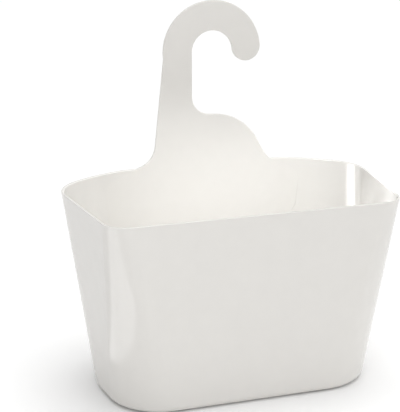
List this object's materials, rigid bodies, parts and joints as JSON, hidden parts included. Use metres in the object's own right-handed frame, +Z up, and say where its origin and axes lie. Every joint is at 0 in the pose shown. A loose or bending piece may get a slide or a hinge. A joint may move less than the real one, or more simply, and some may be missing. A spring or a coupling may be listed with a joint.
{
  "type": "shower caddy",
  "caption": "Open tub for bathroom bottles with a flat hook plate that hangs on a shower rail, or stands on its flat base.",
  "frame": {"origin": "on the underside of the tub, under the middle of the whole object's box", "axes": "+Z up along the hook, -Y towards the open front of the tub, +X to the right seen from the front; the back face of the tub lies on y = 0.081"},
  "size_m": [0.2878, 0.1619, 0.3333],
  "materials": {
    "tub": "satin white moulded polypropylene",
    "plate": "satin white moulded polypropylene"
  },
  "bodies": {
    "root": {"basket": "tub", "hook_plate": "plate"}
  },
  "joints": []
}
